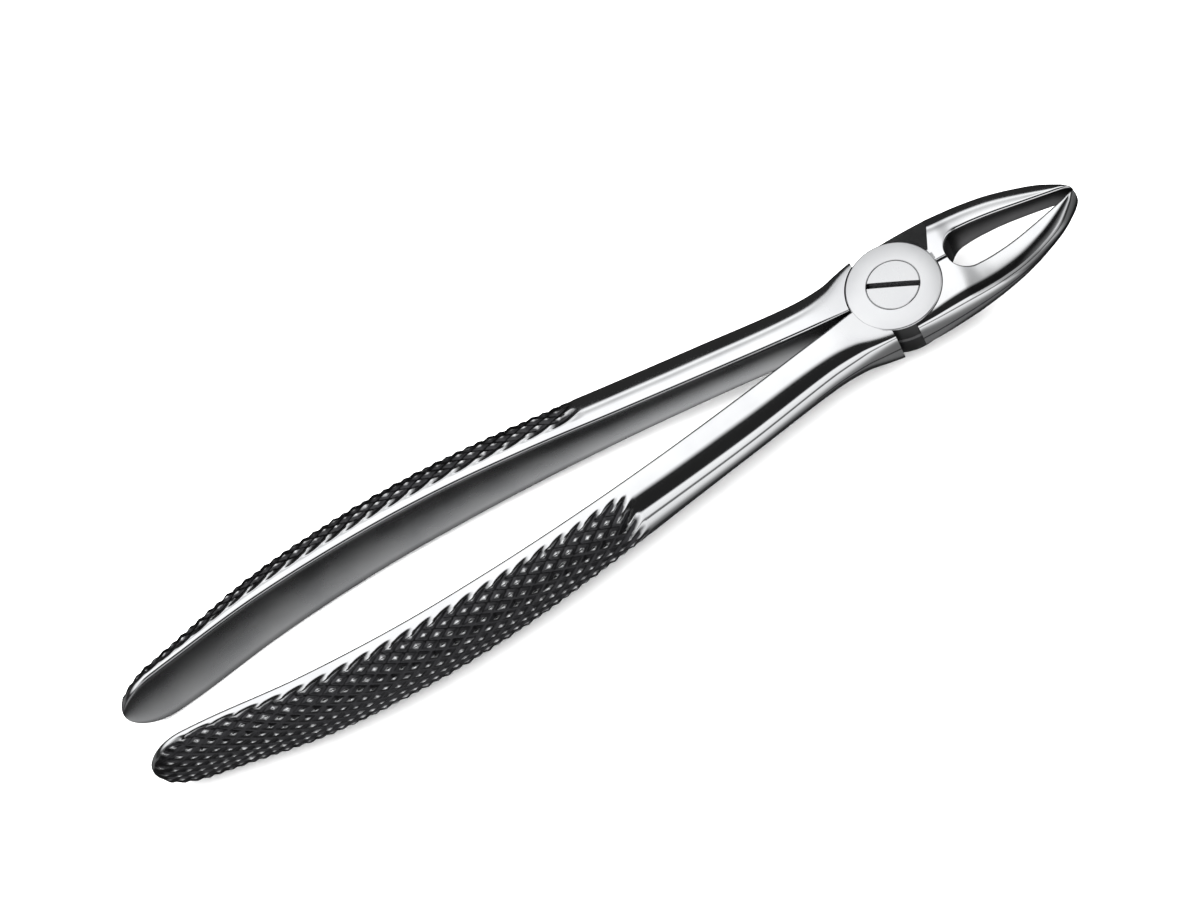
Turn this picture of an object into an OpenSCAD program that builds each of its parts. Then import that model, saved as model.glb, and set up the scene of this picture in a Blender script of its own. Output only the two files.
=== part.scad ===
// Dental extraction forceps, upper front teeth, with a lap joint and a slotted joint screw.
// Two forged halves cross at the joint. The front half carries the lower handle and the upper beak,
// the rear half the upper handle and the lower beak, and each is the other turned over.
// X runs from the handles to the beak tips. Z is the screw's axis, and Z = 0 is the joint's back face.

/* [Overall] */
// Distance from the screw's axis back to the handle ends
handle_reach = 142; // [130:1:150]
// Distance from the screw's axis forward to the beak tips
beak_reach = 33; // [30:0.5:36]

/* [Joint] */
// Thickness of the two lapped discs together
joint_t = 8.2; // [7:0.1:10]
// Diameter of each lapped disc
disc_d = 16; // [15:0.1:16.4]
// Running gap round and between the discs
lap_gap = 0.1; // [0.05:0.01:0.2]
// Half of the slit between the halves where they meet at rest
slit = 0.15; // [0.1:0.01:0.3]
// Depth of the pocket beside the disc, in the beak's root, where it starts at the neck
pocket_depth = 0.3; // [0.2:0.1:0.8]
// Slope of the pocket's floor, falling to the outside
pocket_slope = 15; // [8:1:20]
// Where the pocket ends at the neck, just beyond the disc
pocket_near = 7.8; // [7.6:0.1:8.4]
// Where the pocket ends on the outside
pocket_end = 9.6; // [9:0.1:10]
// Half of the neck that joins the disc to the beak inside the pocket
neck = 2.6; // [2:0.1:4]

/* [Joint screw] */
// Diameter of the screw's head
head_d = 8.8; // [8:0.1:10]
// Thickness of the screw's head
head_t = 1.6; // [1.2:0.1:2]
// Width of the driver slot
slot_w = 1; // [0.7:0.1:1.2]
// Depth of the driver slot
slot_depth = 0.9; // [0.4:0.1:1.2]
// Direction of the driver slot at rest
slot_turn = -30; // [-90:1:90]
// Diameter of the plain shank that the front half turns on
shank_d = 5.2; // [4:0.1:6]
// Outside diameter of the thread in the rear half
thread_d = 4.4; // [3.5:0.1:5]
// Radial running clearance round the shank and the head
running = 0.05; // [0.02:0.01:0.09]

/* [Handles] */
// Length of the round end of a handle
end_round = 7.5; // [5:0.5:9]
// Where the handle's root ends, beside the notch
root_stop = -4; // [-5:0.5:-4]
// Width of the flat left along a handle's inner edges
edge_flat = 0.5; // [0.3:0.1:0.8]

/* [Beaks] */
// Where the beak's shoulder starts, beside the notch
shoulder_start = -0.1; // [-0.3:0.1:0]
// Where the window between the beaks opens
window_start = 9.8; // [9:0.1:11]
// Length of the round end of the window
window_round = 3.6; // [3:0.1:5]
// Depth of the hollow along the gripping face
hollow_depth = 0.4; // [0.3:0.1:0.8]
// Radius of the corners of the tip
tip_round = 1.6; // [1:0.1:2]

/* [Hidden] */

mid_z = joint_t / 2;
disc_r = disc_d / 2;
round_fn = 96;
arc_steps = 20;
far = 60;
steel = "silver";
screw_steel = "gainsboro";

// A handle's stations: x, gap from the middle to its inner face, depth of its section,
// width across it along Z, and squareness of the section (2 is an ellipse)
handle_stations = [
    [-handle_reach, 4.9, 3.4, 13.8, 2.1],
    [-130, 6.2, 5.0, 15.2, 2.1],
    [-114, 8.2, 6.8, 15.0, 2.2],
    [-96, 9.0, 7.7, 14.1, 2.2],
    [-80, 8.6, 7.8, 13.2, 2.3],
    [-64, 7.3, 7.7, 11.4, 2.3],
    [-48, 5.4, 7.4, 9.4, 2.3],
    [-32, 3.3, 7.3, 8.4, 2.3],
    [-16, 1.1, 7.1, joint_t, 2.6],
    [-10, 0.4, 7.5, joint_t, 3.4],
    [-7, slit, 8.0, joint_t, 5.5],
    [root_stop, slit, 8.3, joint_t, 9]
];

// A beak's stations: x, distance from the middle to its outer face, width along Z, squareness
beak_stations = [
    [shoulder_start, 8.9, joint_t, 8],
    [3, 9.0, joint_t, 6],
    [6, 9.0, joint_t, 4.8],
    [9.6, 8.9, 7.8, 4.2],
    [13, 8.7, 6.9, 3.9],
    [16, 8.4, 6.2, 3.7],
    [20, 7.7, 5.5, 3.3],
    [24, 6.5, 5.1, 2.8],
    [28.5, 4.6, 5, 2.3],
    [31.5, 2.4, 5, 2.2],
    [beak_reach, 0.9, 5, 2]
];

// The inner face of a beak beyond the round end of the window: x, distance from the middle
jaw_stations = [[13.4, 3.7], [16, 3.6], [20, 3.1], [24, 2.3], [28.5, 1.3], [31.5, 0.6], [beak_reach, slit]];

// Smooth curve through a table's stations: cubic pieces whose slopes come from the neighbours
function last(t) = len(t) - 1;
function slope(t, k, i) =
    let (a = max(i - 1, 0), b = min(i + 1, last(t)))
    (t[b][k] - t[a][k]) / (t[b][0] - t[a][0]);
function piece(t, x, i = 0) = i >= last(t) - 1 || x < t[i + 1][0] ? i : piece(t, x, i + 1);
function along(t, k, x) =
    let (i = piece(t, x), h = t[i + 1][0] - t[i][0], s = (x - t[i][0]) / h)
    t[i][k] * (1 + 2 * s) * (1 - s) * (1 - s) + t[i + 1][k] * s * s * (3 - 2 * s)
        + h * s * (1 - s) * (slope(t, k, i) * (1 - s) - slope(t, k, i + 1) * s);

// Quarter-round run-out: 0 at the end, 1 once a length r has been passed
function runout(d, r) = d >= r ? 1 : sqrt(max(0, 1 - pow(1 - d / r, 2)));

function signed_pow(v, p) = sign(v) * pow(abs(v), p);

// One ring of a D-shaped section at x: a rounded outside drawn from base out to outer, of which
// the part beyond y0 is kept, and a back face at y0, flat or hollowed along its middle
function ring(x, base, y0, outer, width, square, hollow) =
    let (
        e = min(edge_flat, width / 4, (outer - y0) / 4),
        reach = outer - base - e,
        half = width / 2,
        turn = acos(pow((y0 - base) / reach, square / 2)),
        edge = half * pow(sin(turn), 2 / square)
    )
    concat(
        [for (i = [0 : arc_steps])
            let (a = turn * (1 - 2 * i / arc_steps))
            [x, base + e + reach * pow(cos(a), 2 / square), mid_z + half * signed_pow(sin(a), 2 / square)]],
        [for (s = [-1 : (hollow == 0 ? 2 : 0.5) : 1])
            [x, y0 + hollow * (1 - s * s), mid_z + (edge - e) * s]]
    );

// A closed solid through a list of equal rings, with a flat end at each end
module loft(rings) {
    n = len(rings[0]);
    m = len(rings);
    points = [for (r = rings) each r];
    sides = [for (j = [0 : m - 2], i = [0 : n - 1])
        let (a = j * n + i, b = j * n + (i + 1) % n)
        each [[a, b, b + n], [a, b + n, a + n]]];
    ends = [[for (i = [n - 1 : -1 : 0]) i], [for (i = [0 : n - 1]) (m - 1) * n + i]];
    polyhedron(points, concat(sides, ends), convexity = 6);
}

function handle_ring(x) =
    let (
        e = 0.25 + 0.75 * runout(x + handle_reach, end_round),
        y0 = along(handle_stations, 1, x),
        depth = along(handle_stations, 2, x) * (0.4 + 0.6 * e)
    )
    ring(x, y0, y0, y0 + depth, along(handle_stations, 3, x) * e, along(handle_stations, 4, x), 0);

function beak_inner(x) =
    x < window_start ? slit
        : x < window_start + window_round
            ? slit + (jaw_stations[0][1] - slit) * runout(x - window_start, window_round)
            : along(jaw_stations, 1, x);

function beak_ring(x) =
    let (
        tip = (beak_reach - x) / tip_round,
        width = along(beak_stations, 2, x) * (0.4 + 0.6 * runout(tip, 1)),
        fade = min(1, max(0, (x - window_start) / 4)) * min(1, max(0, tip) / 2)
    )
    ring(x, slit, beak_inner(x), along(beak_stations, 1, x), width, along(beak_stations, 3, x),
        hollow_depth * (0.04 + 0.96 * fade));

handle_xs = concat(
    [for (a = [0 : 15 : 75]) -handle_reach + end_round * (1 - cos(a))],
    [for (x = [-134 : 4 : -10]) x],
    [-8, -7, -5.5, root_stop]
);
beak_xs = concat(
    [shoulder_start, 1.5, 3, 6, 8, window_start - 0.01],
    [for (a = [12 : 15 : 87]) window_start + window_round * (1 - cos(a))],
    [for (x = [14 : 1.5 : 30.5]) x],
    [for (a = [0 : 22.5 : 90]) beak_reach - tip_round * (1 - sin(a))]
);

// The front half's forging before its joint is cut: handle below the middle line, beak above it
module handle_blank() {
    mirror([0, 1, 0])
        loft([for (x = handle_xs) handle_ring(x)]);
}

module beak_blank() {
    loft([for (x = beak_xs) beak_ring(x)]);
}

// The seat for the other half's disc: a round recess in the lower layer
module disc_seat() {
    translate([0, 0, -far])
        cylinder(h = far + mid_z + lap_gap / 2, r = disc_r + lap_gap, $fn = round_fn);
}

// The pocket beside the disc: it leaves the disc's rim standing above the beak's root
module beak_pocket() {
    start = shoulder_start - 1;
    translate([0, neck, joint_t - pocket_depth])
        rotate([-pocket_slope, 0, 0])
            linear_extrude(far)
                polygon([[start, 0], [pocket_near, 0], [pocket_end, 4], [pocket_end, far], [start, far]]);
}

module half_forging() {
    difference() {
        union() {
            handle_blank();
            beak_blank();
        }
        disc_seat();
        beak_pocket();
    }
    translate([0, 0, mid_z + lap_gap / 2])
        cylinder(h = mid_z - lap_gap / 2, r = disc_r, $fn = round_fn);
}

module front_half() {
    color(steel)
        difference() {
            half_forging();
            translate([0, 0, -1])
                cylinder(h = far, r = shank_d / 2 + running, $fn = round_fn);
            translate([0, 0, joint_t - head_t])
                cylinder(h = far, r = head_d / 2 + running, $fn = round_fn);
        }
}

module rear_half() {
    color(steel)
        difference() {
            translate([0, 0, joint_t])
                rotate([180, 0, 0])
                    half_forging();
            translate([0, 0, -1])
                cylinder(h = far, r = thread_d / 2, $fn = round_fn);
        }
}

module joint_screw() {
    color(screw_steel)
        difference() {
            union() {
                cylinder(h = mid_z, r = thread_d / 2, $fn = round_fn);
                translate([0, 0, mid_z - lap_gap / 2])
                    cylinder(h = mid_z, r = shank_d / 2, $fn = round_fn);
                translate([0, 0, joint_t - head_t + lap_gap / 2])
                    cylinder(h = head_t - lap_gap / 2, r = head_d / 2, $fn = round_fn);
            }
            translate([0, 0, joint_t - slot_depth])
                rotate(slot_turn)
                    translate([-head_d, -slot_w / 2, 0])
                        cube([2 * head_d, slot_w, 2 * slot_depth]);
        }
}

front_half();
rear_half();
joint_screw();
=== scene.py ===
# %% [markdown]
# # Dental extraction forceps
# A pair of straight forceps for upper front teeth: two forged steel halves that cross in a lap
# joint and turn on one slotted screw. Each half is one forging, so it is one mesh here, closed
# and smooth, with a ground joint, a knurled grip and a mirror-polished shank on the same steel.
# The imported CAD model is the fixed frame: it gives the size, the hinge and the places, and the
# finer meshes of this script stand where the CAD nodes are.

# %% The frame
import math

import bmesh
import bpy
import numpy as np
from mathutils import Matrix, Vector


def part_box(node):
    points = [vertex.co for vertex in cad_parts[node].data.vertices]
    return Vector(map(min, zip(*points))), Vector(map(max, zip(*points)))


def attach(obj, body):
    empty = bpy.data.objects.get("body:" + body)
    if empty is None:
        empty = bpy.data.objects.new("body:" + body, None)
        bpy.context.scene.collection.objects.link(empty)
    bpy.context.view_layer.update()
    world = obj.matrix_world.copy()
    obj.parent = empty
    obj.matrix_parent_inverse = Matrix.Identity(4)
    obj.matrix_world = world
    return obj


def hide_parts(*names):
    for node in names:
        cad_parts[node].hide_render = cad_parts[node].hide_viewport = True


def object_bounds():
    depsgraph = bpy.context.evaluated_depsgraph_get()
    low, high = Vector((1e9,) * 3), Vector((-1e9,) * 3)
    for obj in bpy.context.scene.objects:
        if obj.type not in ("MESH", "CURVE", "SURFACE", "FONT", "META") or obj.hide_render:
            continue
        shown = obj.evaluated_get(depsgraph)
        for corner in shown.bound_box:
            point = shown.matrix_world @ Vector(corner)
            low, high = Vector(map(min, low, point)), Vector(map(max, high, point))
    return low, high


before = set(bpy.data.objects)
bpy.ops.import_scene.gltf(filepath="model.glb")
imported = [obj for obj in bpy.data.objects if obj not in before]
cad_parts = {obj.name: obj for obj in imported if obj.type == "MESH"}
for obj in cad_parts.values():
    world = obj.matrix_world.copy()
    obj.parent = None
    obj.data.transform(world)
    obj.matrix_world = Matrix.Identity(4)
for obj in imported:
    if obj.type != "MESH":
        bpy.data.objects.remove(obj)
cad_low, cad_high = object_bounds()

MM = 0.001
screw_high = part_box("joint_screw")[1]
handle_reach = -cad_low.x / MM
beak_reach = cad_high.x / MM
joint_t = screw_high.z / MM
head_r = screw_high.x / MM
mid_z = joint_t / 2
print(f"handles reach {handle_reach:.1f} mm back, beaks {beak_reach:.1f} mm forward")
print(f"joint {joint_t:.1f} mm thick")

# %% [markdown]
# ## Stations along the tool
# A forging like this is drawn as a few cross-sections with smooth curves between them. The same
# stations shape the CAD solids, so the finer surfaces lie on them. At each station of a handle
# stand the gap from the middle line to the flat inner face, the depth of the section, its width
# across, and how square it is: 2 is an ellipse, 8 nearly a box, as at the joint. A beak's station
# holds the distance to its outer face, its width and its squareness, and the jaw's stations hold
# the distance to its inner face.

# %% Stations
slit = 0.15
root_stop = -4.0
shoulder_start = -0.1
window_start = 9.8
window_round = 3.6
tip_round = 1.6
hollow_depth = 0.4

HANDLE = np.array([
    [-handle_reach, 4.9, 3.4, 13.8, 2.1],
    [-130, 6.2, 5.0, 15.2, 2.1],
    [-114, 8.2, 6.8, 15.0, 2.2],
    [-96, 9.0, 7.7, 14.1, 2.2],
    [-80, 8.6, 7.8, 13.2, 2.3],
    [-64, 7.3, 7.7, 11.4, 2.3],
    [-48, 5.4, 7.4, 9.4, 2.3],
    [-32, 3.3, 7.3, 8.4, 2.3],
    [-16, 1.1, 7.1, joint_t, 2.6],
    [-10, 0.4, 7.5, joint_t, 3.4],
    [-7, slit, 8.0, joint_t, 5.5],
    [root_stop, slit, 8.3, joint_t, 9],
])
BEAK = np.array([
    [shoulder_start, 8.9, joint_t, 8],
    [3, 9.0, joint_t, 6],
    [6, 9.0, joint_t, 4.8],
    [9.6, 8.9, 7.8, 4.2],
    [13, 8.7, 6.9, 3.9],
    [16, 8.4, 6.2, 3.7],
    [20, 7.7, 5.5, 3.3],
    [24, 6.5, 5.1, 2.8],
    [28.5, 4.6, 5, 2.3],
    [31.5, 2.4, 5, 2.2],
    [beak_reach, 0.9, 5, 2],
])
JAW = np.array([[13.4, 3.7], [16, 3.6], [20, 3.1], [24, 2.3], [28.5, 1.3], [31.5, 0.6], [beak_reach, slit]])


def through(stations, column, x):
    """A smooth curve through a column of stations: on each stretch a cubic whose end slopes are
    the slopes of the chords between the neighbouring stations."""
    knots, values = stations[:, 0], stations[:, column]
    before, after = np.r_[0, 0:len(knots) - 1], np.r_[1:len(knots), len(knots) - 1]
    slopes = (values[after] - values[before]) / (knots[after] - knots[before])
    i = np.clip(np.searchsorted(knots, x, side="right") - 1, 0, len(knots) - 2)
    h = knots[i + 1] - knots[i]
    s = (x - knots[i]) / h
    ends = values[i] * (1 + 2 * s) * (1 - s) ** 2 + values[i + 1] * s * s * (3 - 2 * s)
    return ends + h * s * (1 - s) * (slopes[i] * (1 - s) - slopes[i + 1] * s)


def runout(distance, radius):
    """A quarter round: 0 at distance 0, rising as a circle does to 1 at the radius and beyond."""
    left = np.clip(1 - distance / radius, 0, 1)
    return np.sqrt(1 - left * left)


def ramp(value, low, high):
    """0 below low, 1 above high, and an S-shaped step between."""
    s = np.clip((value - low) / (high - low), 0, 1)
    return s * s * (3 - 2 * s)


# %% [markdown]
# ## The D-shaped section
# Handle and beak share one kind of section: a flat or hollowed back that faces the middle line,
# two small rounded edges, and a rounded outside. It could be a Bezier outline swept by hand, but
# a formula keeps every ring's points in step, which is what lets thousands of them be joined.

# %% Section and mesh helpers
outside_steps = 132
edge_steps = 5
back_steps = 12
edge_round = 0.55


def section(x, base, back, outer, width, square, hollow, soft):
    """Rings of a D-shaped section, one for each x: arrays of shape (rings, points around).
    Outside: a superellipse about y = base + e, where the radius at the angle a is
    (|cos a / p|^n + |sin a / q|^n)^(-1/n) with the half sizes p = outer - base - e and
    q = width/2 and the squareness n, for the angles that keep y above back + e. Edges: quarter
    ellipses of size e, which is edge_round times soft. Back: pushed in by hollow times
    (1 - s^2), with s from -1 to 1 across it."""
    rows = np.broadcast_arrays(x, base, back, outer, width, square, hollow, soft)
    x, base, back, outer, width, square, hollow, soft = (v[:, None] for v in rows)
    e = np.minimum(edge_round * soft, np.minimum(width, outer - back) / 4)
    p, q = outer - base - e, width / 2
    rim = q * (1 - ((back - base) / p) ** square) ** (1 / square)
    a = np.arctan2(rim, back - base) * np.linspace(1, -1, outside_steps + 1)[None, :]
    radius = (np.abs(np.cos(a) / p) ** square + np.abs(np.sin(a) / q) ** square) ** (-1 / square)
    y_out, z_out = base + e + radius * np.cos(a), radius * np.sin(a)
    b = np.radians(np.linspace(0, 90, edge_steps + 1))[None, 1:]
    y_low = back + e * (1 - np.sin(b))
    z_low = -(rim - e) - e * np.cos(b)
    s = np.linspace(-1, 1, back_steps + 1)[None, 1:]
    y_back = back + hollow * (1 - s * s)
    z_back = (rim - e) * s
    y = np.concatenate([y_out, y_low, y_back, y_low[:, -2::-1]], axis=1)
    z = np.concatenate([z_out, z_low, z_back, -z_low[:, -2::-1]], axis=1)
    return np.broadcast_to(x, y.shape), y, z + mid_z


def tube_faces(rings, around):
    """Quads of a closed tube of rings: each ring's point joins its neighbour and the next ring."""
    j, i = np.meshgrid(np.arange(rings - 1), np.arange(around), indexing="ij")
    a = (j * around + i).ravel()
    b = (j * around + (i + 1) % around).ravel()
    return np.stack([a, b, b + around, a + around], axis=1)


def weld(mesh, gap, sliver):
    """Joins points that lie within a gap and dissolves edges shorter than a sliver, both in
    millimetres, then drops edges and points that no face uses. Returns how many edges are open,
    and the volume in mm3."""
    work = bmesh.new()
    work.from_mesh(mesh)
    bmesh.ops.remove_doubles(work, verts=work.verts[:], dist=gap * MM)
    bmesh.ops.dissolve_degenerate(work, edges=work.edges[:], dist=sliver * MM)
    bmesh.ops.delete(work, geom=[e for e in work.edges if e.is_wire], context="EDGES")
    bmesh.ops.delete(work, geom=[v for v in work.verts if not v.link_faces], context="VERTS")
    open_edges = sum(not e.is_manifold for e in work.edges)
    volume = work.calc_volume() / MM ** 3
    work.to_mesh(mesh)
    work.free()
    return open_edges, volume


def build(name, points, faces):
    """A mesh object from points in millimetres and a list of faces, wound so that it encloses
    a positive volume, which is what pointing outwards means."""
    mesh = bpy.data.meshes.new(name)
    mesh.from_pydata((np.asarray(points) * MM).tolist(), [], faces)
    work = bmesh.new()
    work.from_mesh(mesh)
    bmesh.ops.recalc_face_normals(work, faces=work.faces[:])
    work.to_mesh(mesh)
    work.free()
    piece = bpy.data.objects.new(name, mesh)
    bpy.context.scene.collection.objects.link(piece)
    return piece


def lathe(name, profile, steps=160):
    """Carries a closed profile of (radius, height) once round the Z axis."""
    profile = np.array(profile, float)
    turn = np.linspace(0, 2 * np.pi, steps, endpoint=False)[:, None]
    x, y = profile[:, 0] * np.cos(turn), profile[:, 0] * np.sin(turn)
    z = np.broadcast_to(profile[:, 1], x.shape)
    count = len(profile)
    faces = tube_faces(steps, count)
    seam = np.arange(count)
    last = (steps - 1) * count
    wrap = np.stack([last + seam, last + (seam + 1) % count, (seam + 1) % count, seam], axis=1)
    points = np.stack([x, y, z], axis=-1).reshape(-1, 3)
    piece = build(name, points, faces.tolist() + wrap.tolist())
    weld(piece.data, 0.0001, 0.00001)
    return piece


def cut(piece, tool, operation="DIFFERENCE"):
    """Cuts a tool out of a piece, or adds it on, keeps the result in the piece and drops the tool."""
    step = piece.modifiers.new("cut", "BOOLEAN")
    step.operation = operation
    step.solver = "EXACT"
    step.object = tool
    shown = piece.evaluated_get(bpy.context.evaluated_depsgraph_get())
    made = bpy.data.meshes.new_from_object(shown)
    piece.modifiers.clear()
    old, piece.data = piece.data, made
    bpy.data.meshes.remove(old)
    bpy.data.objects.remove(tool)
    return piece


# %% [markdown]
# ## The knurled grip
# Knurling is two families of V grooves milled across each other, which leave rows of small
# pyramids. A bump map would look flat at the outline, so the pyramids are real geometry: the
# surface is pushed in, towards the middle of the handle's back, by the depth of the deeper groove.
# The rings stand closer than a sixth of a cell, so a pyramid keeps its ridges. A smooth strip
# stays along both inner edges.

# %% Grip
grip_end = -20.0
end_round = 7.5
end_share = 0.4
end_lift = 0.9
knurl_long = 3.8
knurl_across = 2.0
knurl_depth = 0.5
knurl_front = -53.0
groove_flank = 1.05
ring_gap = 0.24
palm_hollow = 0.7
POLISHED, SATIN, KNURLED, MACHINED_SHADED = 0, 1, 2, 3


def handle_rings(x):
    """The handle's section at each x, drawn in to a round end at the tail, where e falls from 1 to
    0. The width shrinks with e and the depth shrinks less, and the inner face moves outwards by
    up to end_lift."""
    e = runout(x + handle_reach, end_round)
    depth = through(HANDLE, 2, x) * (end_share + (1 - end_share) * e) * ramp(e, -0.35, 0.7)
    back = through(HANDLE, 1, x) + end_lift * (1 - e)
    soft = 1 - 0.5 * ramp(x, -14, -7)
    hollow = palm_hollow * e * (1 - ramp(x, grip_end, -8))
    width, square = through(HANDLE, 3, x) * e, through(HANDLE, 4, x)
    return section(x, back, back, back + depth, width, square, hollow, soft)


def wave(s):
    """A zigzag between 0 at whole numbers and 1 half way between them."""
    return 1 - np.abs(2 * (s - np.floor(s)) - 1)


def knurl(x, y, z):
    """How deep the grooves are, from 0 to 1, and where the cutter has been. Each family of grooves
    runs where x/long + q/across, or x/long - q/across, is a whole number, q being the length along
    the ring from its crest. The surface is as deep as the deeper of the two, and each family
    shallows out by itself towards the smooth strip, one of them later than the other. A flank
    steeper than 1 leaves a small flat on each pyramid."""
    steps = np.hypot(np.diff(y, axis=1), np.diff(z, axis=1))
    length = np.concatenate([np.zeros((len(y), 1)), np.cumsum(steps, axis=1)], axis=1)
    crest = length[:, outside_steps // 2][:, None]
    q = length - crest
    inside = length[:, outside_steps][:, None] - crest - np.abs(q)
    behind = knurl_front - x
    strip = 0.35 + 0.65 * ramp(x + handle_reach, 3, 34)
    long_run = ramp(inside / strip, 0.9, 2.8) * ramp(behind, 0, 4)
    short_run = ramp(inside / strip, 1.6, 3.0) * ramp(behind, 2, 5)
    long_run[:, outside_steps + 1:] = 0
    short_run[:, outside_steps + 1:] = 0
    along, across = x / knurl_long, q / knurl_across
    first = np.clip(1 - groove_flank * wave(along + across), 0, 1) * long_run
    second = np.clip(1 - groove_flank * wave(along - across), 0, 1) * short_run
    return np.maximum(first, second), long_run


angles = np.radians(np.linspace(4, 86, 26))
grip_x = np.concatenate([
    -handle_reach + end_round * (1 - np.cos(angles)),
    np.arange(-134.8, knurl_front + 0.5, ring_gap),
    np.linspace(knurl_front + 0.8, grip_end, 50),
])
gx, gy, gz = handle_rings(grip_x)
deep, share = knurl(gx, gy, gz)
centre_y = through(HANDLE, 1, grip_x)[:, None]
out = np.stack([gy - centre_y, gz - mid_z], axis=-1)
out = out / np.linalg.norm(out, axis=-1, keepdims=True).clip(1e-6)
sunk = knurl_depth * deep
gy = gy - sunk * out[..., 0]
gz = gz - sunk * out[..., 1]
rings, around = gx.shape
grip_points = np.stack([gx, gy, gz], axis=-1).reshape(-1, 3)
pole = np.array([[-handle_reach, gy[0].mean(), mid_z]])
grip_points = np.vstack([grip_points, pole])
grip_faces = tube_faces(rings, around)
fan = [[i, (i + 1) % around, rings * around] for i in range(around)]
on_back = (np.arange(around) >= outside_steps + 2) & (np.arange(around) < around - 2)
smooth_finish = np.where(np.tile(on_back, rings - 1), SATIN, POLISHED)
finish = np.where(share[:-1].ravel() > 0.002, KNURLED, smooth_finish)
groove = np.append(deep.ravel(), 0)
print(f"grip: {rings} rings of {around}, {len(grip_faces) * 2} triangles, grooves {knurl_depth} mm deep")

# %% [markdown]
# ## The joint and the beak
# On the real forging the joint is milled after the shape is forged: a round seat takes the other
# half's disc, and a small pocket beside the disc clears its rim. The same order works here. The
# root of the handle and the beak are closed surfaces, the seat and the pocket are cut out of
# them, and a turned disc with softly broken edges is added.

# %% Joint and beak
disc_r = 8.0
lap_gap = 0.1
dome = 0.5
neck = 2.6
pocket_depth = 0.3
pocket_slope = math.tan(math.radians(15))
pocket_near = 7.8
pocket_end = 9.6


def jaw(x):
    """Distance from the middle line to a beak's inner face: a slit up to the window, then a
    quarter round, then a smooth curve down to the tip."""
    rise = slit + (JAW[0, 1] - slit) * runout(x - window_start, window_round)
    beyond = through(JAW, 1, np.maximum(x, JAW[0, 0]))
    return np.where(x < window_start, slit, np.where(x < window_start + window_round, rise, beyond))


def beak_rings(x):
    """The beak's section at each x, with the hollow along its inner face and the tip rounded."""
    back = jaw(x)
    tip = (beak_reach - x) / tip_round
    corner = 0.4 + 0.6 * runout(tip, 1.0)
    fade = np.clip((x - window_start) / 4, 0, 1) * np.clip(tip / 2, 0, 1)
    outer = through(BEAK, 1, x)
    blunt = 0.4 * (outer - back) * (1 - runout(beak_reach - x, 0.35))
    width, square = through(BEAK, 2, x) * corner, through(BEAK, 3, x)
    soft = 0.5 + 0.5 * ramp(x, window_start, 14)
    return section(x, slit, back + blunt, outer - blunt, width, square, hollow_depth * fade, soft)


def closed_loft(name, x, y, z):
    """Rings joined into a tube, with a flat face at each end."""
    rings, around = x.shape
    points = np.stack([x, y, z], axis=-1).reshape(-1, 3)
    ends = [list(range(around))[::-1], list(range((rings - 1) * around, rings * around))]
    return build(name, points, tube_faces(rings, around).tolist() + ends)


def domed(radius):
    """Height of the joint's outer face at a radius: nearly flat, falling off towards its rim."""
    return joint_t + dome * (1 - (radius / disc_r) ** 3)


def disc(name, bore, recess):
    """One lapped disc of the joint, from the lap face up to its outer face, with its hole."""
    low, rim, soft, lap_edge = mid_z + lap_gap / 2, 0.22, 0.1, 0.35
    hole = recess[0] if recess else bore
    inner = [(bore, low)]
    if recess:
        inner += [(bore, joint_t - recess[1]), (hole, joint_t - recess[1])]
    inner += [(hole, domed(hole) - soft)]
    face = [(r, domed(r)) for r in np.linspace(hole + soft, disc_r - rim, 10)]
    turn = np.radians(np.linspace(80, 0, 5))
    outer = [(disc_r - rim + rim * math.cos(t), joint_t - rim + rim * math.sin(t)) for t in turn]
    return lathe(name, inner + face + outer + [(disc_r, low + lap_edge), (disc_r - lap_edge, low)])


def seat_cutter():
    """The round seat for the other disc, and a narrower core where this half's own disc goes."""
    low, top, high = -9, mid_z + lap_gap / 2, 20
    wide, core = disc_r + lap_gap, disc_r - 1.2
    return lathe("seat", [(0, low), (wide, low), (wide, top), (core, top), (core, high), (0, high)])


def prism(name, outline, low, high, slope=0.0):
    """Carries an outline of (x, y) points straight up to a height. Its floor is at the height low
    where y = 0, and falls by slope for each millimetre of y."""
    flat = np.array(outline, float)
    count = len(flat)
    floor = np.c_[flat, low - slope * flat[:, 1]]
    roof = np.c_[flat, np.full(count, high)]
    sides = [[i, (i + 1) % count, (i + 1) % count + count, i + count] for i in range(count)]
    ends = [list(range(count))[::-1], list(range(count, 2 * count))]
    return build(name, np.vstack([floor, roof]), sides + ends)


def pocket_cutter():
    """The pocket milled into the beak's root beside the disc, its floor falling to the outside."""
    start, far = shoulder_start - 1, 30
    near_side = [(start, neck), (pocket_near, neck), (pocket_end, neck + 4)]
    outline = near_side + [(pocket_end, far), (start, far)]
    return prism("pocket", outline, joint_t - pocket_depth + pocket_slope * neck, far, pocket_slope)


root_x = np.linspace(grip_end, root_stop, 34)
rx, ry, rz = handle_rings(root_x)
root = cut(closed_loft("root", rx, -ry, rz), seat_cutter())
tip_x = beak_reach - tip_round * (1 - np.sin(np.radians(np.linspace(0, 90, 14))))
beak_x = np.concatenate([
    np.linspace(shoulder_start, window_start - 0.02, 20),
    window_start + window_round * (1 - np.cos(np.radians(np.linspace(4, 90, 14)))),
    np.linspace(window_start + window_round + 0.4, tip_x[0] - 0.3, 40),
    tip_x,
])
beak = cut(cut(closed_loft("beak", *beak_rings(beak_x)), seat_cutter()), pocket_cutter())


def twin(piece):
    """A second object with its own copy of the mesh."""
    other = piece.copy()
    other.data = piece.data.copy()
    bpy.context.scene.collection.objects.link(other)
    return other


def joint_stock(bore, recess):
    """Root, disc and beak made one solid."""
    stock = cut(twin(root), disc("disc", bore, recess), "UNION")
    return cut(stock, twin(beak), "UNION")


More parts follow.
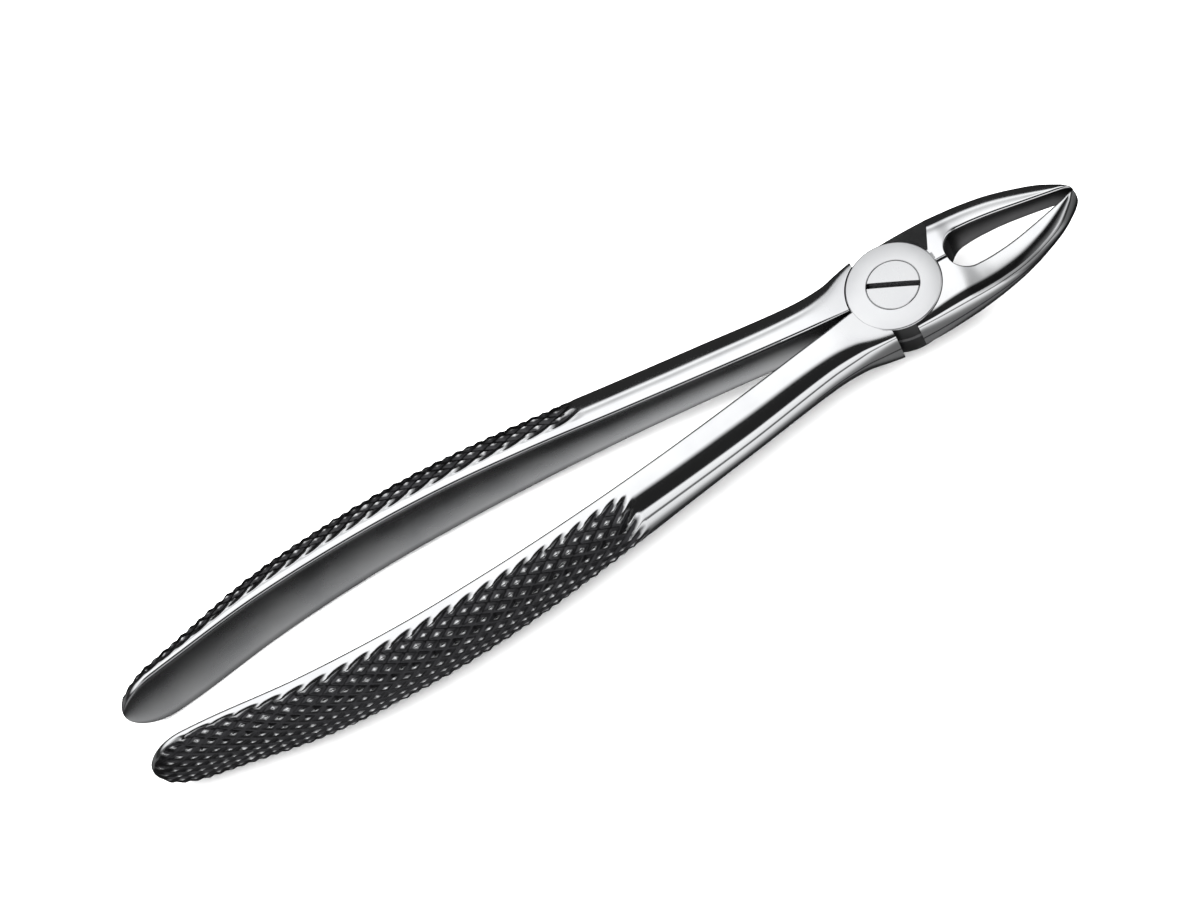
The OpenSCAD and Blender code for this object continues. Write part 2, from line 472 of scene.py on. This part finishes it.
# %% [markdown]
# ## One forging, one mesh
# The grip and the joint end in the same ring of points, so they are joined there into one closed
# mesh, with no seam for the light to catch. Each face carries one of four finishes, and a
# smooth attribute fades the ground satin of the joint into the polish of the shank. The rear
# half is the same forging turned over about X, with its own hole in the disc.

# %% Forgings
def joint_finish(middle, normal):
    """The finish of each face of the joint and beak, from its middle and its normal: machined, with a dark
    colour that is painted shade, on the disc's wall, between the laps, in the counterbore and along the
    jaw, satin inside the handle's root, and polished elsewhere."""
    x, y, z = middle.T
    from_axis = np.hypot(x, y)
    outward = np.abs((normal[:, :2] * middle[:, :2]).sum(axis=1) / from_axis)
    below_face = z < joint_t - 0.3
    wall = (outward > 0.6) & (np.abs(from_axis - disc_r) < 0.25) & below_face
    lap = np.abs(z - mid_z) < 0.2
    counterbore = (from_axis < head_r + 0.1) & below_face
    inner_y = np.where(x < 0, through(HANDLE, 1, x), jaw(x)) + palm_hollow + 0.1
    palm = (-np.sign(y) * normal[:, 1] > 0.8) & (np.abs(y) < inner_y)
    made = np.where(palm & (x < root_stop), SATIN, POLISHED)
    # The machined faces get a dark colour: painted shade in the joint's seams, its counterbore and along
    # the jaw.
    made[wall | lap | counterbore | palm & (x > window_start + 0.6)] = MACHINED_SHADED
    return made


def satin_share(points):
    """How much of the joint's ground satin a point has, from 0 to 1: all of it on the flat faces
    of the disc and the root, fading out along the shank and past the disc's rim."""
    x, y, z = points.T
    on_face = ramp(np.abs(z - mid_z), mid_z - 0.5, mid_z - 0.1)
    past_shank = ramp(x, -17, -9)
    in_disc = 1 - ramp(np.hypot(x, y), disc_r - 0.1, disc_r + 0.3)
    return on_face * past_shank * np.maximum(in_disc, x < -3)


def forging(name, bore, recess, turned_over):
    """Grip and joint as one mesh: the joint's points on the shared ring become the grip's."""
    stock = joint_stock(bore, recess)
    mesh = stock.data
    points = np.zeros(len(mesh.vertices) * 3)
    mesh.vertices.foreach_get("co", points)
    points = points.reshape(-1, 3) / MM
    front_grip = grip_points * [1, -1, 1]
    first = (rings - 1) * around
    ring = front_grip[first:first + around]
    on_ring = np.flatnonzero(np.abs(points[:, 0] - grip_end) < 1e-3)
    gaps = np.linalg.norm(points[on_ring][:, None] - ring[None], axis=-1)
    new_index = np.arange(len(points)) + len(grip_points)
    new_index[on_ring] = first + gaps.argmin(axis=1)
    kept = [f for f in mesh.polygons if f.center.x / MM > grip_end + 1e-3]
    joint_faces = [new_index[list(f.vertices)].tolist() for f in kept]
    middle = np.array([f.center for f in kept]) / MM
    normal = np.array([f.normal for f in kept])
    bpy.data.objects.remove(stock)
    all_points = np.vstack([front_grip, points])
    faces = grip_faces.tolist() + fan + joint_faces
    finishes = np.concatenate([finish, np.full(len(fan), POLISHED), joint_finish(middle, normal)])
    grooves = np.concatenate([groove, np.zeros(len(points))])
    satin_shares = satin_share(all_points)
    if turned_over:
        all_points = all_points * [1, -1, -1] + [0, 0, joint_t]
    piece = build(name, all_points, faces)
    mesh = piece.data
    for label, values in (("groove", grooves), ("satin", satin_shares)):
        stored = mesh.attributes.new(label, "FLOAT", "POINT")
        stored.data.foreach_set("value", values.astype(np.float32))
    mesh.polygons.foreach_set("material_index", finishes.astype(np.int32))
    mesh.polygons.foreach_set("use_smooth", np.ones(len(mesh.polygons), bool))
    mesh.set_sharp_from_angle(angle=math.radians(38))
    open_edges, volume = weld(mesh, 0.002, 0.0005)
    print(f"{name}: {len(mesh.polygons)} faces, {open_edges} open edges, {volume:.0f} mm3")
    return piece


shank_r = 2.6
thread_r = 2.2
head_t = 1.6
running = 0.05
front = forging("front_forging", shank_r + running, (head_r + running, head_t), False)
rear = forging("rear_forging", thread_r, None, True)
bpy.data.objects.remove(root)
bpy.data.objects.remove(beak)

# %% [markdown]
# ## The joint screw
# A turned screw: a flat head with a broken edge, let in flush, a plain shank that the front half
# turns on, and a threaded end that is peened over and ground flush at the back. The body of
# revolution is one profile carried round the axis, and the driver slot is cut across the head.

# %% Screw
slot_w = 1.0
slot_depth = 0.9
slot_turn = -30
thread_play = 0.02


def screw():
    """A lathe profile from the end, ground with the back face, up to the slotted head."""
    soft = 0.12
    profile = [(r, joint_t - domed(r)) for r in np.linspace(0, thread_r - soft, 5)]
    thread = thread_r - thread_play
    under_head = joint_t - head_t + lap_gap / 2
    profile += [(thread, joint_t - domed(thread_r) + soft), (thread, mid_z), (shank_r, mid_z)]
    profile += [(shank_r, under_head), (head_r, under_head), (head_r, domed(head_r) - soft)]
    profile += [(r, domed(r)) for r in np.linspace(head_r - soft, 0, 8)]
    piece = lathe("joint_screw_turned", profile)
    turn = np.array(Matrix.Rotation(math.radians(slot_turn), 2))
    outline = np.array([(-1, -1), (1, -1), (1, 1), (-1, 1)]) * [2 * head_r, slot_w / 2] @ turn.T
    cut(piece, prism("slot", outline, joint_t - slot_depth, joint_t + 2))
    faces = piece.data.polygons
    middle = np.array([f.center.xy for f in faces]) / MM @ turn
    height = np.array([f.center.z for f in faces]) / MM
    in_slot = np.abs(middle[:, 1]) < slot_w / 2 + 0.01
    in_slot &= (height > joint_t - slot_depth - 0.01) & (height < joint_t)
    # The slot's faces take the machined material, whose dark colour is painted shade for the depth of the
    # slot.
    faces.foreach_set("material_index", in_slot.astype(np.int32))
    faces.foreach_set("use_smooth", np.ones(len(faces), bool))
    piece.data.set_sharp_from_angle(angle=math.radians(30))
    return piece


joint_screw = screw()
print(f"screw: {len(joint_screw.data.polygons)} faces, head {2 * head_r:.1f} mm across")

# %% [markdown]
# ## Materials
# Surgical forceps are martensitic stainless steel. Its colour is a light, nearly neutral grey.
# What differs most from one surface to the next is how smooth it is. The shanks and beaks are buffed to a
# mirror, and the joint faces and the handles' inner faces are ground satin. The knurling's grooves and the
# machined seams and recesses of the joint are darkened with painted shade.

# %% Material helpers
def colour(code):
    """An sRGB hex colour turned to the linear values that shaders take."""
    part = np.array([int(code[i:i + 2], 16) for i in (1, 3, 5)]) / 255
    linear = np.where(part <= 0.04045, part / 12.92, ((part + 0.055) / 1.055) ** 2.4)
    return (*linear.tolist(), 1.0)


def add(tree, kind, links=None, **settings):
    """One node with its settings, sockets by name or number, and its links."""
    node = tree.nodes.new("ShaderNode" + kind)
    for key, value in settings.items():
        if hasattr(node, key):
            setattr(node, key, value)
        else:
            node.inputs[key.replace("_", " ")].default_value = value
    for socket, source in (links or {}).items():
        tree.links.new(source, node.inputs[socket])
    return node


def stops(node, *pairs):
    """Sets a colour ramp's stops: (position, colour) pairs, lowest first."""
    line = node.color_ramp
    while len(line.elements) < len(pairs):
        line.elements.new(1.0)
    for element, (place, tint) in zip(line.elements, pairs):
        element.position = place
        element.color = colour(tint)
    return node.outputs["Color"]


def grey(value):
    """The neutral hex colour whose linear value is a number from 0 to 1, so that a colour ramp can
    hold roughness or brightness."""
    level = value * 12.92 if value <= 0.0031308 else 1.055 * value ** (1 / 2.4) - 0.055
    return "#" + f"{round(level * 255):02x}" * 3


def steel(name, base, dark, rough, grain_mm, grain_depth_mm, stretch=(1, 1, 1)):
    """Bare steel: a metal whose colour and roughness drift a little, with a fine grain."""
    material = bpy.data.materials.new(name)
    material.use_nodes = True
    tree = material.node_tree
    tree.nodes.clear()
    place = add(tree, "TexCoord").outputs["Object"]
    cloud = add(tree, "TexNoise", {"Vector": place}, Scale=1 / (9 * MM), Detail=4.0).outputs["Fac"]
    tint = stops(add(tree, "ValToRGB", {"Fac": cloud}), (0.3, dark), (0.7, base))
    gloss = stops(add(tree, "ValToRGB", {"Fac": cloud}), (0.3, grey(rough[0])), (0.7, grey(rough[1])))
    lines = add(tree, "Mapping", {"Vector": place}, Scale=stretch)
    along = lines.outputs["Vector"]
    grain = add(tree, "TexNoise", {"Vector": along}, Scale=1 / (grain_mm * MM), Detail=3.0).outputs["Fac"]
    bump = add(tree, "Bump", {"Height": grain}, Strength=1.0, Distance=grain_depth_mm * MM)
    sources = {"Base Color": tint, "Roughness": gloss, "Normal": bump.outputs["Normal"]}
    shader = add(tree, "BsdfPrincipled", sources, Metallic=1.0)
    add(tree, "OutputMaterial", {"Surface": shader.outputs["BSDF"]})
    return material, shader.inputs, tint, gloss


def blend_colours(tree, factor, first, second, kind="MIX"):
    """The mix of two colours by a factor, each a socket or a plain value."""
    mix = tree.nodes.new("ShaderNodeMix")
    mix.data_type = "RGBA"
    mix.blend_type = kind
    for socket, value in ((mix.inputs[0], factor), (mix.inputs[6], first), (mix.inputs[7], second)):
        if hasattr(value, "links"):
            tree.links.new(value, socket)
        else:
            socket.default_value = value
    return mix.outputs[2]


# %% Mirror-polished stainless steel
# Buffed with a fine compound: sharp reflections, a trace of buffing lines along the tool, and
# a fade into ground satin over the faces of the joint.
polished, inputs, tint, gloss = steel(
    "mirror_polished_stainless", "#d6d7d8", "#cbccce", (0.07, 0.12), 0.5, 0.0006, (0.2, 1, 1))
tree = polished.node_tree
ground = add(tree, "Attribute", attribute_name="satin").outputs["Fac"]
tree.links.new(blend_colours(tree, ground, gloss, colour(grey(0.3))), inputs["Roughness"])

# %% Ground satin stainless steel
# The handles' inner faces are finished on a belt: fine lines along the tool and soft, dim
# reflections.
satin = steel(
    "ground_satin_stainless", "#a9aaab", "#98999b", (0.24, 0.32), 0.35, 0.002, (0.06, 1, 1))[0]

# %% Knurled stainless steel
# The tops of the pyramids are burnished by the polishing wheel. The grooves are darkened with painted
# shade, deeper grooves darker, in uneven patches.
knurled, inputs, tint, gloss = steel(
    "knurled_stainless", "#d6d7d8", "#cbccce", (0.09, 0.16), 0.5, 0.0006)
tree = knurled.node_tree
depth_share = add(tree, "Attribute", attribute_name="groove").outputs["Fac"]
place = add(tree, "TexCoord").outputs["Object"]
patch = add(tree, "TexNoise", {"Vector": place}, Scale=1 / (1.6 * MM), Detail=3.0).outputs["Fac"]
uneven = add(tree, "Math", {0: depth_share, 1: patch}, operation="MULTIPLY").outputs["Value"]
# Painted shade: the groove depth, broken up by a noise, turns the colour towards a dark grey and the
# roughness up.
groove_painted_shade = stops(add(tree, "ValToRGB", {"Fac": uneven}), (0.03, "#000000"), (0.2, "#ffffff"))
tree.links.new(blend_colours(tree, groove_painted_shade, tint, colour("#3c3c3e")), inputs["Base Color"])
tree.links.new(blend_colours(tree, groove_painted_shade, gloss, colour(grey(0.35))), inputs["Roughness"])

# %% Machined steel of the joint, with painted shade
# The disc's rim, its seat, the beaks' gripping faces and the driver slot are never polished: fine tool
# marks. Their dark colour is painted shade, standing in for the shade in these narrow seams and recesses.
machined_shaded_steel = steel("machined_steel_painted_shade", "#6a6a6b", "#4b4b4c", (0.3, 0.42), 0.3, 0.003)[0]

# %% Turned screw steel
# The head was faced on a lathe and then ground with the joint, so it is satin.
turned = steel("turned_screw_steel", "#cfd0d1", "#c0c1c3", (0.22, 0.32), 0.5, 0.0015)[0]

# %% Finishes on the pieces
for piece in (front, rear):
    for material in (polished, satin, knurled, machined_shaded_steel):
        piece.data.materials.append(material)
for material in (turned, machined_shaded_steel):
    joint_screw.data.materials.append(material)

# %% [markdown]
# ## Bodies
# The front forging turns on the screw, and the screw is fixed in the rear forging.

# %% Bodies
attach(front, "front")
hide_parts("front_half")
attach(rear, "rear")
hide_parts("rear_half")
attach(joint_screw, "rear")
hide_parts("joint_screw")

# %% [markdown]
# ## Floor
# The floor is plain and pale, and its rim curves up into a wall all round, so that a low view has
# the same background. It is kept out of the reflections, as if the tool lay on glass above it.

# %% Floor
sweep_flat, sweep_bend, sweep_top = 1500, 600, 2400
sweep_steps = 96
bend = np.radians(np.linspace(0, 90, 13))
outer_r = sweep_flat + sweep_bend
sweep_r = np.r_[10, sweep_flat, sweep_flat + sweep_bend * np.sin(bend[1:]), outer_r]
sweep_z = np.r_[0, 0, sweep_bend * (1 - np.cos(bend[1:])), sweep_top]
sweep_turn = np.linspace(0, 2 * np.pi, sweep_steps, endpoint=False)
floor_points = np.stack([
    sweep_r[:, None] * np.cos(sweep_turn),
    sweep_r[:, None] * np.sin(sweep_turn),
    np.broadcast_to(sweep_z[:, None] + cad_low.z / MM, (len(sweep_r), sweep_steps)),
], axis=-1).reshape(-1, 3)
floor_faces = tube_faces(len(sweep_r), sweep_steps).tolist() + [list(range(sweep_steps))]
floor = build("floor", floor_points, floor_faces)
if floor.data.polygons[-1].normal.z < 0:
    floor.data.flip_normals()
paper = bpy.data.materials.new("pale_floor")
paper.use_nodes = True
paper_inputs = paper.node_tree.nodes["Principled BSDF"].inputs
paper_inputs["Base Color"].default_value = colour("#f4f4f4")
paper_inputs["Roughness"].default_value = 0.9
paper_inputs["Specular IOR Level"].default_value = 0.0
floor.data.materials.append(paper)
floor.visible_glossy = False

# %% [markdown]
# ## Light
# Polished metal shows the room more than itself, so the room is drawn as bands of brightness
# round the tool's long axis. Each band is given by its angle from straight up, in degrees,
# positive to +Y. A bright ceiling that leans to +Y whitens what faces up, dark bands draw the
# black lines along every rounded edge, and grey on the -Y side fills the flanks. Towards the two
# ends of the axis the bands give way to a plain run from dark below to bright above, and a soft
# grey flag stands a little to +X. A soft lamp above gives the floor its shadows.

# %% Light
world = bpy.data.worlds.new("studio")
bpy.context.scene.world = world
world.use_nodes = True
tree = world.node_tree
tree.nodes.clear()


def axis_share(tree, source):
    """A direction's component, from -1 to 1, turned to a place from 0 to 1 on a ramp."""
    return add(tree, "MapRange", {"Value": source}, From_Min=-1.0, From_Max=1.0).outputs["Result"]


def brightness(tree, source, pairs):
    """A ramp of brightness over a source: pairs of a place from 0 to 1 and a value."""
    return stops(add(tree, "ValToRGB", {"Fac": source}), *[(place, grey(value)) for place, value in pairs])


BANDS = [
    (-180, 0.02), (-158, 0.02), (-150, 0.13), (-142, 0.22), (-130, 0.45), (-120, 0.65), (-98, 0.80),
    (-94, 0.12), (-86, 0.12), (-80, 0.75), (-54, 0.90), (-48, 0.015), (-4, 0.015), (5, 0.95),
    (38, 1.0), (44, 0.5), (46, 0.5), (50, 1.0), (53, 0.9), (57, 0.02), (180, 0.02),
]
SIDES = [(0.0, 0.06), (0.4, 0.12), (0.52, 0.02), (0.64, 0.03), (0.76, 0.8), (1.0, 1.0)]
FLAG = [(0.635, 1.0), (0.66, 0.35), (0.77, 0.35), (0.80, 1.0)]

way = add(tree, "SeparateXYZ", {"Vector": add(tree, "TexCoord").outputs["Generated"]}).outputs
turn = add(tree, "Math", {0: way["Y"], 1: way["Z"]}, operation="ARCTAN2").outputs["Value"]
place = add(tree, "MapRange", {"Value": turn}, From_Min=-math.pi, From_Max=math.pi).outputs["Result"]
bands = brightness(tree, place, [(angle / 360 + 0.5, value) for angle, value in BANDS])
sides = brightness(tree, axis_share(tree, way["Z"]), SIDES)
flag = brightness(tree, axis_share(tree, way["X"]), FLAG)
sideways = add(tree, "Math", {0: way["X"]}, operation="ABSOLUTE").outputs["Value"]
to_side = stops(add(tree, "ValToRGB", {"Fac": sideways}), (0.4, "#000000"), (0.75, "#ffffff"))
room = blend_colours(tree, to_side, bands, sides)
shaded = blend_colours(tree, 1.0, room, flag, "MULTIPLY")
backdrop = add(tree, "Background", {"Color": shaded}, Strength=1.6)
add(tree, "OutputWorld", {"Surface": backdrop.outputs["Background"]})

lamp = bpy.data.lights.new("ceiling", "AREA")
lamp.shape = "DISK"
lamp.size = 2.4
lamp.energy = 60.0
ceiling = bpy.data.objects.new("ceiling", lamp)
ceiling.location = (-0.05, 0.1, 1.1)
ceiling.visible_glossy = False
bpy.context.scene.collection.objects.link(ceiling)

# %% [markdown]
# ## Camera
# The camera looks along a line tilted 30 degrees from the screw's axis, with the tool turned in
# the frame so that its beaks point up to the right. From a metre away a long lens keeps the two
# handles in nearly the same scale. The lens follows from the width of the frame at the screw.

# %% Camera
tilt = math.radians(30)
roll = math.radians(30.5)
frame_width = 192.62 * MM
screw_right = 47.08 * MM
screw_up = 26.36 * MM
distance = 1.0
sensor = 36
across = Vector((1, 0, 0))
up = Vector((0, math.cos(tilt), math.sin(tilt)))
image_right = across * math.cos(roll) - up * math.sin(roll)
image_up = across * math.sin(roll) + up * math.cos(roll)
toward = image_right.cross(image_up)
screw_top = Vector((0, 0, joint_t * MM))
target = screw_top - image_right * screw_right - image_up * screw_up
camera_data = bpy.data.cameras.new("camera")
camera_data.sensor_width = sensor
camera_data.lens = sensor * distance / frame_width
camera_data.clip_start = 0.01
camera = bpy.data.objects.new("camera", camera_data)
facing = Matrix((image_right, image_up, toward)).transposed().to_4x4()
camera.matrix_world = Matrix.Translation(target + toward * distance) @ facing
bpy.context.scene.collection.objects.link(camera)
bpy.context.scene.camera = camera
bpy.context.scene.view_settings.view_transform = "Standard"
